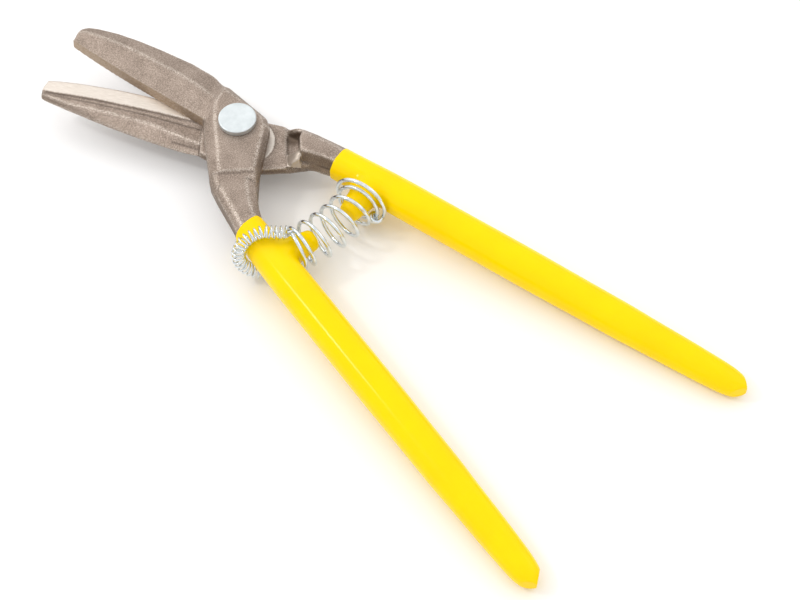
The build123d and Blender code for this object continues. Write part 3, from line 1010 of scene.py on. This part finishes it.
        # Masks for the painted highlight along the ridges, the painted shade in the creases and the painted
        # shade on the cutting lands, half of it on the lug.
        ridge_highlight = self.nearness(places, ridges, self.ridge_width)
        crease_shade = self.nearness(places, creases, self.crease_width)
        write_mask(mesh, "ridge_highlight", ridge_highlight * (1 - self.ridge_melt * melt))
        write_mask(mesh, "crease_shade", crease_shade * self.crease_dark * (1 - self.crease_melt * melt))
        write_mask(mesh, "ground", ground)
        write_mask(mesh, "land_shade", np.maximum(land_shade, self.lug_land_shade * lug_faces[nearest]))

        pairs = edge_pairs(mesh)
        firm = ground * ~lug_faces[nearest]
        spread = relaxed(firm[:, None].repeat(3, axis=1), pairs, np.ones(len(ground)), self.guard_rounds)
        free = 1 - np.clip(spread[:, 0] * 2, 0, 1)
        places = relaxed(places, pairs, np.full(len(places), self.ground_share), self.ground_rounds)
        places = relaxed(places, pairs, self.forged_share * free, self.forged_rounds)
        places = relaxed(places, pairs, self.lug_share * lug_faces[nearest], self.lug_rounds)
        places = relaxed(places, pairs, self.melt_share * melt * free, self.melt_rounds)
        set_coordinates(mesh, places)
        normals = np.empty(len(places) * 3)
        mesh.vertices.foreach_get("normal", normals)
        normals = normals.reshape(-1, 3)
        # Painted shade, darker the steeper a face is, with the pocket's painted shade added.
        steep_shade = np.clip(self.steep_shade_from - normals[:, 2] * self.steep_shade_rate, 0, 1) * self.steep_shade_dark
        write_mask(mesh, "painted_shade", np.clip(steep_shade + self.shaded(places), 0, self.darkest))
        swell = wavering(places, self.coarse_swell, self.seeds[0])
        swell = swell + 0.5 * wavering(places, self.fine_swell, self.seeds[1])
        places = places + normals * (self.unevenness * swell * free - self.clearance)[:, None]
        lap = (ground > 0.5) & (land_shade < 0.5) & (np.abs(places[:, 2] - SHEAR_Z) < self.lap_reach)
        places[lap, 2] = np.median(places[lap, 2])
        under = (places - self.handle.at(self.tang_start)) @ self.handle.along / self.tang_run
        places = places - normals * (self.tang_inset * np.clip(under, 0, 1))[:, None]
        set_coordinates(mesh, places)

        piece = new_piece(self.name, mesh, material)
        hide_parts(self.node)
        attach(piece, self.body)
        return piece


# ---------------------------------------------------------------- grips
@dataclass
class DippedGrip:
    """A dipped grip whose coating runs smoothly over the spring peg."""

    name: str
    node: str
    tang: str
    handle: Handle
    dip_line: tuple[float, float] = (0.0, 0.0)
    dip_width: float = 13 * MM
    dip_fade: float = 9 * MM
    cut_at: float = 0.02 * MM
    voxel: float = 0.42 * MM
    skin_rounds: int = 5
    skin_share: float = 0.5
    root_rounds: int = 60
    root_share: float = 0.9
    root_reach: float = 5.5 * MM
    root_radius: float = 6.8 * MM
    root_level: float = 0.8 * MM
    root_floor: float = -7.0 * MM
    end_slant: float = 43.0
    end_run: float = 9.0 * MM
    end_rounds: int = 4

    def cut_open_end(self, mesh: bpy.types.Mesh) -> None:
        """Cuts the joined coating and lever off where the coating starts, which leaves a filled grip.

        Args:
            mesh: the joined mesh, changed in place.
        """
        shape = bmesh.new()
        shape.from_mesh(mesh)
        everything = shape.verts[:] + shape.edges[:] + shape.faces[:]
        bmesh.ops.bisect_plane(
            shape,
            geom=everything,
            plane_co=Vector(self.handle.at(self.cut_at)),
            plane_no=Vector(self.handle.along),
            clear_inner=True,
        )
        bmesh.ops.holes_fill(shape, edges=[edge for edge in shape.edges if edge.is_boundary])
        shape.to_mesh(mesh)
        shape.free()

    def dipped(self, places: np.ndarray) -> np.ndarray:
        """Draws the coating's edge up the shank to its slanted dip line.

        Args:
            places: vertex places.

        Returns:
            The new places.
        """
        offset = places - self.handle.at(0.0)
        station, inwards = offset @ self.handle.along, offset @ self.handle.inwards
        outer, inner = self.dip_line
        reach = outer + (inner - outer) * np.clip(inwards / self.dip_width + 0.5, 0, 1)
        fade = np.clip(1 - station / self.dip_fade, 0, 1) ** 2
        return places - np.outer(reach * fade, self.handle.along)

    def pointed(self, places: np.ndarray, pairs: np.ndarray) -> np.ndarray:
        """Gives the grip's far end the two slanted faces of the tang inside it.

        Args:
            places: vertex places.
            pairs: vertex pairs of the edges.

        Returns:
            The new places.
        """
        start, along = self.handle.at(0.0), self.handle.along
        tip = start + along * ((places - start) @ along).max()
        slant = math.radians(self.end_slant)
        for side in (-1, 1):
            facing = along * math.cos(slant) + self.handle.inwards * side * math.sin(slant)
            beyond = np.maximum((places - tip) @ facing, 0)
            places = places - beyond[:, None] * facing
        near = ((places - tip) @ along > -self.end_run).astype(float)
        return relaxed(places, pairs, near * self.skin_share, self.end_rounds)

    def build(self, material: bpy.types.Material) -> bpy.types.Object:
        """Makes the grip's piece.

        Args:
            material: the coating's material.

        Returns:
            The piece.
        """
        mesh = voxel_copy((self.node, self.tang), self.voxel)
        self.cut_open_end(mesh)
        places = coordinates(mesh)
        pairs = edge_pairs(mesh)
        root = self.handle.at(PEG_STATION, PEG_REACH)
        offset = places - root
        inwards = offset @ self.handle.inwards
        flat = offset - np.outer(inwards, self.handle.inwards)
        radius = np.linalg.norm(flat, axis=1)
        distance = np.hypot(radius - self.root_radius, inwards + self.root_level)
        melt = eased(np.clip(1 - distance / self.root_reach, 0, 1))
        melt[inwards < self.root_floor] = 0
        places = relaxed(places, pairs, np.full(len(places), self.skin_share), self.skin_rounds)
        places = relaxed(places, pairs, melt * self.root_share, self.root_rounds)
        places = self.dipped(self.pointed(places, pairs))
        set_coordinates(mesh, places)
        piece = new_piece(self.name, mesh, material)
        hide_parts(self.node)
        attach(piece, self.handle.body)
        return piece


# ---------------------------------------------------------------- pivot
@dataclass
class Pivot:
    """The turned bolt with its round head."""

    head_radius: float = 8.0 * MM
    head_height: float = 2.6 * MM
    boss_height: float = 8.0 * MM
    stem_radius: float = 5.0 * MM
    thread_pitch: float = 1.25 * MM
    thread_depth: float = 0.35 * MM
    thread_from: float = -9.6 * MM
    sectors: int = 128
    rim_round: float = 0.40 * MM

    def outline(self) -> list[tuple[float, float, float]]:
        """Lists the bolt's side from the middle of its head to the middle of its end.

        Returns:
            Radius, height above the shear plane and share of thread, one row per ring.
        """
        seat = self.boss_height
        top = seat + self.head_height
        rim, stem, end = self.head_radius, self.stem_radius, -SHEAR_Z
        rows = [(0.0, top - 0.10 * MM, 0.0), (1.6 * MM, top - 0.09 * MM, 0.0)]
        rows += [(5.6 * MM, top - 0.03 * MM, 0.0), (rim - 0.6 * MM, top - 0.01 * MM, 0.0)]
        for step in range(9):
            angle = math.pi / 2 * (1 - step / 8)
            out = rim + self.rim_round * (math.cos(angle) - 1)
            rows.append((out, top + self.rim_round * (math.sin(angle) - 1), 0.0))
        rows += [(rim, seat + 0.4 * MM, 0.0), (rim - 0.12 * MM, seat + 0.12 * MM, 0.0)]
        rows += [(rim - 0.3 * MM, seat, 0.0), (stem * 0.9, seat, 0.0)]
        rows += [(stem * 0.9, 0.4 * MM, 0.0), (stem - 0.02 * MM, 0.0, 0.0)]
        levels = np.arange(-0.5 * MM, end + 0.8 * MM, -self.thread_pitch / 8)
        rows += [(stem - 0.02 * MM, z, 1.0 if z < self.thread_from else 0.0) for z in levels]
        rows += [(stem - 0.45 * MM, end + 0.35 * MM, 0.2), (stem - 0.9 * MM, end, 0.0), (0.0, end, 0.0)]
        return rows

    def build(self, material: bpy.types.Material) -> bpy.types.Object:
        """Makes the bolt.

        Args:
            material: the zinc plate's material.

        Returns:
            The bolt's piece.
        """
        rows = self.outline()
        turn = np.linspace(0, 2 * math.pi, self.sectors, endpoint=False)
        points, faces = [], []
        for radius, height, threaded in rows:
            if radius == 0.0:
                points.append([(0.0, 0.0, height + SHEAR_Z)])
                continue
            phase = height / self.thread_pitch - turn / (2 * math.pi)
            saw = np.abs((phase % 1.0) - 0.5) * 2
            out = radius - threaded * self.thread_depth * saw
            level = np.full(self.sectors, height + SHEAR_Z)
            points.append(list(zip(out * np.cos(turn), out * np.sin(turn), level)))
        starts = np.concatenate([[0], np.cumsum([len(ring) for ring in points])])
        for index in range(len(points) - 1):
            here, below = starts[index], starts[index + 1]
            for corner in range(self.sectors):
                after = (corner + 1) % self.sectors
                if len(points[index]) == 1:
                    faces.append((here, below + corner, below + after))
                elif len(points[index + 1]) == 1:
                    faces.append((here + corner, below, here + after))
                else:
                    faces.append((here + corner, below + corner, below + after, here + after))
        corners = [point for ring in points for point in ring]
        mesh = new_mesh("pivot_bolt_turned", corners, [tuple(int(i) for i in face) for face in faces])
        piece = new_piece("turned_bolt", mesh, material)
        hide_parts("pivot_bolt")
        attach(piece, "upper_half")
        return piece


# ---------------------------------------------------------------- springs
@dataclass
class ReturnSpring:
    """Coil spring over both pegs: open turns between two closed ones, the wider one on the lower grip."""

    wire: float = 1.7 * MM
    radius: float = 8.86 * MM
    end_radius: float = 11.6 * MM
    turns: int = 5
    seat: float = 2.3 * MM
    sag: float = 2.5 * MM
    phase: float = 0.675
    tail: float = 0.4
    steps: int = 40
    sides: int = 14
    knot_steps: int = 60
    knot_turns: float = 1.35
    knot_run: float = 0.055
    knot_gap: float = 1.02

    def axis(self, share: np.ndarray) -> tuple[np.ndarray, np.ndarray]:
        """The spring's bent axis, from the upper to the lower grip.

        Args:
            share: shares of its length.

        Returns:
            Its places and its directions.
        """
        start = UPPER_HANDLE.at(PEG_STATION, PEG_REACH + self.seat)
        end = LOWER_HANDLE.at(PEG_STATION, PEG_REACH + self.seat)
        half = np.linalg.norm(end - start) / 2
        radius = (half**2 + self.sag**2) / (2 * self.sag)
        run = (end - start) / (2 * half)
        sideways = np.array([run[1], -run[0], 0.0])
        middle = (start + end) / 2 + sideways * (self.sag - radius)
        turned = (2 * share - 1) * math.asin(half / radius)
        sine, cosine = np.sin(turned)[:, None], np.cos(turned)[:, None]
        return middle + radius * (run * sine + sideways * cosine), run * cosine - sideways * sine

    def wire_at(self, turn: np.ndarray) -> np.ndarray:
        """Middle of the wire.

        Args:
            turn: turns from the wire's end on the upper grip.

        Returns:
            One place per turn value.
        """
        ends, _ = self.axis(np.array([0.0, 1.0]))
        closed = self.wire * 1.15 / np.linalg.norm(ends[1] - ends[0])
        last = self.turns + 2 + self.tail
        share = closed + (1 - 2 * closed) * (turn - 1) / self.turns
        share = np.where(turn <= 1, closed * turn, share)
        share = np.where(turn >= self.turns + 1, 1 - closed * (last - turn) / (1 + self.tail), share)
        grow = np.clip((turn - self.turns - 1.3) / 0.7, 0, 1)
        radius = (self.radius + (self.end_radius - self.radius) * grow)[:, None]
        centre, along = self.axis(share)
        across = np.cross(along, [0.0, 0.0, 1.0])
        across /= np.linalg.norm(across, axis=1)[:, None]
        angle = (2 * math.pi * (turn + self.phase))[:, None]
        return centre + across * radius * np.cos(angle) - np.array([0.0, 0.0, 1.0]) * radius * np.sin(angle)

    def knot(self, last: float) -> np.ndarray:
        """The wire's end, wrapped round the end turn.

        Args:
            last: turn value where the wrapping starts.

        Returns:
            The places of its middle line.
        """
        shares = np.linspace(0, 1, self.knot_steps)
        core = self.wire_at(last - 1 + shares * self.knot_run)
        offset = self.wire_at(np.array([last]))[0] - core[0]
        reach = np.linalg.norm(offset)
        close = self.wire * self.knot_gap
        places = []
        for share, centre, along in zip(shares, core, directions(core)):
            flat = offset - along * offset.dot(along)
            flat /= np.linalg.norm(flat)
            angle = 2 * math.pi * self.knot_turns * share
            spoke = flat * math.cos(angle) + np.cross(along, flat) * math.sin(angle)
            places.append(centre + spoke * (close + (reach - close) * (1 - share) ** 3))
        return np.array(places)

    def build(self, material: bpy.types.Material) -> bpy.types.Object:
        """Makes the spring's piece.

        Args:
            material: the spring wire's material.

        Returns:
            The piece.
        """
        last = self.turns + 2 + self.tail
        turn = np.linspace(0, last, int(last * self.steps))
        path = np.vstack([self.wire_at(turn), self.knot(last)[1:]])
        mesh = swept_wire("return_spring_wire", path, self.wire / 2, self.sides)
        piece = new_piece("return_spring_coil", mesh, material)
        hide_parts("return_spring")
        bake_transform(piece)
        return piece


@dataclass
class RetainingSpring:
    """Fine tension spring round the upper grip, hooked to the return spring's end turn."""

    wire: float = 0.85 * MM
    coil_radius: float = 2.6 * MM
    pitch: float = 2.05 * MM
    per_turn: int = 20
    sides: int = 8
    lift: float = 10.8 * MM
    measuring_steps: int = 400
    hook_steps: int = 40
    top_hook: float = 15.6 * MM
    under_hook: float = 20.6 * MM

    def middle_line(self) -> list[Point]:
        """Runs the coil from the top of the grip round its outer side and back underneath.

        Returns:
            Places of the coil's middle line.
        """
        # Millimetres along the handle and towards the other one, and shares of the lift.
        offsets = [
            (15.8, 8.3, 0.98),
            (12.6, 3.6, 0.99),
            (10.0, 0.0, 0.99),
            (8.4, -5.9, 0.84),
            (7.9, -9.6, 0.46),
            (8.3, -10.9, 0.0),
            (9.8, -9.8, -0.46),
            (12.2, -6.3, -0.84),
            (15.4, -0.4, -0.97),
            (17.6, 3.6, -0.97),
            (19.6, 7.9, -0.97),
        ]
        return [tuple(UPPER_HANDLE.at(s * MM, a * MM, level * self.lift)) for s, a, level in offsets]

    @staticmethod
    def hook(station: float, side: int) -> list[Point]:
        """Bends a hook over the return spring's end turn.

        Args:
            station: distance along the handle where it hooks on.
            side: 1 above the shear plane and -1 below it.

        Returns:
            Places of the hook, from its tip to the coil.
        """
        level = math.sqrt(ReturnSpring.radius**2 - (station - PEG_STATION) ** 2)
        # Millimetres towards the other handle and away from the turn, from the tip.
        curl = [(9.3, -1.25), (10.5, -0.95), (11.2, 0.1), (10.6, 1.1), (9.4, 1.5), (8.2, 2.2)]
        return [tuple(UPPER_HANDLE.at(station, a * MM, side * (level + b * MM))) for a, b in curl]

    def build(self, material: bpy.types.Material) -> bpy.types.Object:
        """Makes the spring's piece.

        Args:
            material: the spring wire's material.

        Returns:
            The piece.
        """
        line = smooth_path(self.middle_line(), self.measuring_steps)
        length = np.linalg.norm(np.diff(line, axis=0), axis=1).sum()
        turns = round(length / self.pitch)
        line = smooth_path(self.middle_line(), turns * self.per_turn)
        coil = wound_on(line, self.coil_radius, turns, 0.25, UPPER_HANDLE.along)
        over = smooth_path(self.hook(self.top_hook, 1) + [tuple(coil[0])], self.hook_steps)
        under = smooth_path([tuple(coil[-1])] + self.hook(self.under_hook, -1)[::-1], self.hook_steps)
        path = np.vstack([over[:-1], coil, under[1:]])
        mesh = swept_wire("retaining_spring_wire", path, self.wire / 2, self.sides)
        piece = new_piece("retaining_spring_coil", mesh, material)
        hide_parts("retaining_spring")
        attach(piece, "upper_half")
        return piece


# ---------------------------------------------------------------- studio
@dataclass
class Studio:
    """Pale table, soft lights and the camera."""

    camera_at: Point = (-0.2763, -0.3844, 0.61615)
    looks_at: Point = (-0.0094, -0.1083, 0.01655)
    lens: float = 80.1
    lights_at: Point = (0.0, -0.07, 0.0)
    table_size: float = 3.0
    table_cuts: int = 24
    table_slope: float = 0.0505
    table_axis: float = -4.2 * MM
    table_gap: float = 0.05 * MM

    def table(self, material: bpy.types.Material) -> bpy.types.Object:
        """Makes the table, tilted to touch the bolt's end and both grips.

        Args:
            material: the table's material.

        Returns:
            The piece.
        """
        half, cuts = self.table_size / 2, self.table_cuts
        points, faces = [], []
        for row in range(cuts + 1):
            for column in range(cuts + 1):
                x = -half + self.table_size * column / cuts
                y = -half + self.table_size * row / cuts
                points.append((x, y, -self.table_slope * (y - self.table_axis) - self.table_gap))
        for row in range(cuts):
            for column in range(cuts):
                corner = row * (cuts + 1) + column
                faces.append((corner, corner + 1, corner + cuts + 2, corner + cuts + 1))
        piece = new_piece("table_top", new_mesh("table_top", points, faces), material)
        return piece

    def softbox(self, name: str, place: Point, size: float, watts: float, colour: Point) -> None:
        """Adds a square area light.

        Args:
            name: the light's name.
            place: where it stands.
            size: its side.
            watts: its power.
            colour: its colour.
        """
        data = bpy.data.lights.new(name, "AREA")
        data.shape = "SQUARE"
        data.size = size
        data.energy = watts
        data.color = colour
        lamp = bpy.data.objects.new(name, data)
        bpy.context.scene.collection.objects.link(lamp)
        lamp.location = place
        direction = Vector(self.lights_at) - Vector(place)
        lamp.rotation_euler = direction.to_track_quat("-Z", "Y").to_euler()

    @staticmethod
    def sky() -> None:
        """Soft surroundings, brighter overhead than at the sides."""
        world = bpy.data.worlds.new("tent")
        bpy.context.scene.world = world
        world.use_nodes = True
        nodes = Nodes(world.node_tree)
        backdrop = world.node_tree.nodes["Background"]
        parts = nodes.add("ShaderNodeSeparateXYZ")
        nodes.link(nodes.add("ShaderNodeTexCoord").outputs["Generated"], parts.inputs[0])
        ramp = nodes.add("ShaderNodeValToRGB")
        nodes.link(nodes.remap(parts.outputs[2], -0.1, 1.0), ramp.inputs[0])
        ramp.color_ramp.elements[0].position = 0.0
        ramp.color_ramp.elements[0].color = (0.84, 0.835, 0.83, 1.0)
        ramp.color_ramp.elements[1].position = 0.75
        ramp.color_ramp.elements[1].color = (1.0, 1.0, 1.0, 1.0)
        nodes.link(ramp.outputs[0], backdrop.inputs["Color"])
        backdrop.inputs["Strength"].default_value = 1.02

    def camera(self) -> None:
        """Sets up the camera."""
        data = bpy.data.cameras.new("camera")
        data.lens = self.lens
        data.sensor_width = 36.0
        camera = bpy.data.objects.new("camera", data)
        bpy.context.scene.collection.objects.link(camera)
        camera.location = self.camera_at
        direction = Vector(self.looks_at) - Vector(self.camera_at)
        camera.rotation_euler = direction.to_track_quat("-Z", "Y").to_euler()
        bpy.context.scene.camera = camera

    def build(self) -> None:
        """Makes everything that isn't the shears."""
        bpy.context.scene.view_settings.view_transform = "Standard"
        self.table(PaleTable("pale_table").build())
        self.sky()
        self.camera()
        # A broad soft light, a weaker one across from it and a small bright one for the sheen on the grips.
        self.softbox("key_tent", (0.05, 0.85, 0.85), 0.9, 2.0, (1.0, 0.99, 0.975))
        self.softbox("fill_tent", (0.75, -0.45, 0.85), 0.8, 1.2, (0.98, 0.99, 1.0))
        self.softbox("spark", (-0.55, 0.55, 0.95), 0.16, 2.2, (1.0, 1.0, 1.0))


# ---------------------------------------------------------------- everything
def main() -> None:
    """Builds the shears' pieces in order and reports each."""
    logging.basicConfig(level=logging.INFO, format="%(name)s: %(message)s")
    build_grain()
    build_dulling()
    build_lathe()
    forged = ForgedSteel("forged_steel").build()
    zinc = ZincPlate("zinc_plate").build()
    wire = SpringWire("spring_wire").build()
    vinyl = DippedVinyl("dipped_vinyl").build()
    turned = TurnedSteel("turned_steel").build()

    upper_lever = Lever(
        "upper_forging", "upper_lever", "upper_half", -polar(9.4), False, UPPER_HANDLE, melts=UPPER_MELTS
    )
    lower_lever = Lever(
        "lower_forging", "lower_lever", "lower_half", -polar(211.2), True, LOWER_HANDLE, melts=LOWER_MELTS,
        melt_from=-9.0 * MM, pocket=LOWER_POCKET,
    )
    upper_dip_line = (0.2 * MM, 2.2 * MM)
    pieces = [
        upper_lever.build(forged),
        lower_lever.build(forged),
        DippedGrip("upper_coating", "upper_grip", "upper_lever", UPPER_HANDLE, upper_dip_line).build(vinyl),
        DippedGrip("lower_coating", "lower_grip", "lower_lever", LOWER_HANDLE).build(vinyl),
        Pivot().build(zinc),
        ReturnSpring().build(wire),
        RetainingSpring().build(wire),
    ]
    plain = {"pivot_washer": zinc, "pivot_nut": zinc, "upper_peg": turned, "lower_peg": turned}
    for node, material in plain.items():
        for slot in frame["nodes"][node].material_slots:
            slot.material = material
        LOG.info("%s keeps its CAD shape", node)
    for piece in pieces:
        LOG.info("%s: %d faces", piece.name, len(piece.data.polygons))
    Studio().build()


if __name__ == "__main__":
    main()
